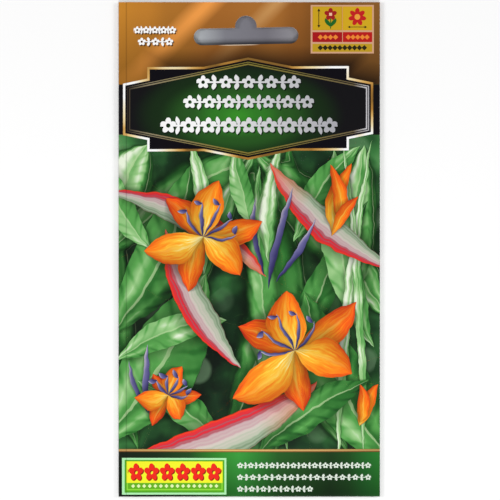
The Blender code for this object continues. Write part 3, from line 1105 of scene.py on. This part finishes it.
def seed_material(name, dark, light, rough, scale):
    material, shader = start_material(name)
    vector = packet_place()[0]
    grain = noise(vector, scale, 3.0)
    feed(shader, "Base Color", ramp(grain, (0.3, dark), (0.7, light)))
    feed(shader, "Roughness", grain * 0.2 + rough)
    paper_bump(vector, 0.6, shader)
    return material


SEED_COAT = seed_material("seed_coat", "#0c0b0a", "#2a231c", 0.3, 0.9)
SEED_TUFT = seed_material("seed_tuft", "#d8540c", "#ff9a2e", 0.6, 2.0)

# %% One seed


def first_seed():
    bpy.ops.object.select_all(action="DESELECT")
    bpy.ops.mesh.primitive_uv_sphere_add(segments=40, ring_count=20, radius=1.0)
    body = bpy.context.object
    for vertex in body.data.vertices:
        girth = SEED_THICK / 2 * (1 - SEED_TAPER * vertex.co.x)
        vertex.co = (vertex.co.x * SEED_LENGTH / 2, vertex.co.y * girth, vertex.co.z * girth)
    body.data.materials.append(SEED_COAT)
    bpy.ops.mesh.primitive_cone_add(vertices=5, radius1=0.11 * MM, radius2=0.02 * MM, depth=TUFT_RADIUS)
    hair = bpy.context.object
    hair.data.transform(Matrix.Translation((0, 0, TUFT_RADIUS / 2)))
    hair.data.materials.append(SEED_TUFT)
    parts = [body]
    for number in range(HAIRS):
        lean = np.arccos(1 - 1.25 * (number + 0.5) / HAIRS)
        strand = bpy.data.objects.new("hair", hair.data.copy())
        strand.data.transform(Matrix.Rotation(lean, 4, "Y"))
        strand.data.transform(Matrix.Rotation(number * GOLDEN_ANGLE, 4, "Z"))
        strand.data.transform(Matrix.Rotation(pi / 2, 4, "Y"))
        strand.data.transform(Matrix.Translation((TUFT_MIDDLE, 0, 0)))
        scene.collection.objects.link(strand)
        parts.append(strand)
    bpy.data.objects.remove(hair, do_unlink=True)
    bpy.ops.object.select_all(action="DESELECT")
    for part in parts:
        part.select_set(True)
    bpy.context.view_layer.objects.active = body
    bpy.ops.object.join()
    bpy.ops.object.shade_smooth_by_angle(angle=radians(60))
    return body


FIRST_SEED = first_seed()
print("seed", len(FIRST_SEED.data.polygons), "faces")

# %% The five seeds
# Each seed has its place along x and y and its turn.
SEEDS = ((-11, -17.5, 205), (-1.5, -26, 80), (8.5, -14, 330), (9.5, -26.5, 20), (-8, -31.5, 250))
for number, (seed_x, seed_y, turn) in enumerate(SEEDS, start=1):
    node = f"seed_{number}"
    floor_side, top_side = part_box(node)
    seed = bpy.data.objects.new("packet_" + node, FIRST_SEED.data.copy())
    seed.data.name = seed.name
    seed.data.transform(Matrix.Rotation(radians(turn), 4, "Z"))
    seed.data.transform(Matrix.Translation((seed_x * MM, seed_y * MM, (floor_side[2] + top_side[2]) / 2)))
    scene.collection.objects.link(seed)
    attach(seed, "root")
    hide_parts(node)
bpy.data.objects.remove(FIRST_SEED, do_unlink=True)
print("seeds:", len(SEEDS))

# %% [markdown]
# ## The studio
# Flat printed paper with varnish on it is lit from its sides, as on a copying stand, so that no lamp mirrors
# in it. The lamp at the foot is the strongest, and casts a soft shadow from the slot's lower edge. The floor
# shows white to the camera. Under the packet it is painted grey as shade, lighter to the left, and a painted
# shadow darkens it further along the slot's lower edge.

# %% The lamps
world = bpy.data.worlds.new("studio")
scene.world = world
world.use_nodes = True
backdrop = world.node_tree.nodes["Background"]
backdrop.inputs["Color"].default_value = (1, 1, 1, 1)
backdrop.inputs["Strength"].default_value = 0.34


def lamp(name, place, size, power):
    bpy.ops.object.light_add(type="AREA", location=place)
    light = bpy.context.object
    light.name = name
    light.data.shape = "DISK"
    light.data.size = size
    light.data.energy = power
    light.rotation_euler = (-Vector(place)).to_track_quat("-Z", "Y").to_euler()


lamp("foot_lamp", (0.05, -0.8, 0.6), 0.3, 5.6)
lamp("left_lamp", (-0.9, 0.1, 0.7), 0.4, 3.8)
lamp("right_lamp", (0.9, 0.25, 0.7), 0.4, 3.0)
print("lamps: 3")

# %% The floor


def floor_material():
    material, shader = start_material("floor")
    x, y = packet_place()[1:]
    rays = add_node("ShaderNodeLightPath")
    glossy = Wire(rays.socket.node.outputs["Is Glossy Ray"])
    through = Wire(rays.socket.node.outputs["Is Transmission Ray"])
    seen = rays.at_least(glossy).at_least(through)
    # Painted shade: the floor is grey under the packet, lighter to the left.
    under = within(x, y, -39, 39, -74.7, 74.7)
    shade = ramp(x.ramp_up(-17, 15), (0.0, "#b8bcc0"), (0.3, "#82828a"), (0.7, "#78767e"), (1.0, "#96949a"))
    # A painted shadow darkens the floor along the slot's lower edge.
    shade = multiply(shade, 1 - (y - x * 0.019).ramp_up(64.0, 63.3) * 0.62)
    white = blend(seen, (0.8, 0.8, 0.8, 1), (1, 1, 1, 1))
    feed(shader, "Base Color", blend(under, white, shade))
    feed(shader, "Emission Color", blend(seen * (1 - under), (0, 0, 0, 1), (1, 1, 1, 1)))
    shader.inputs["Emission Strength"].default_value = 0.04
    shader.inputs["Roughness"].default_value = 1.0
    shader.inputs["Specular IOR Level"].default_value = 0.0
    return material


bpy.ops.mesh.primitive_plane_add(size=6)
floor = bpy.context.object
floor.name = "floor"
floor.data.materials.append(floor_material())
print("floor ready")
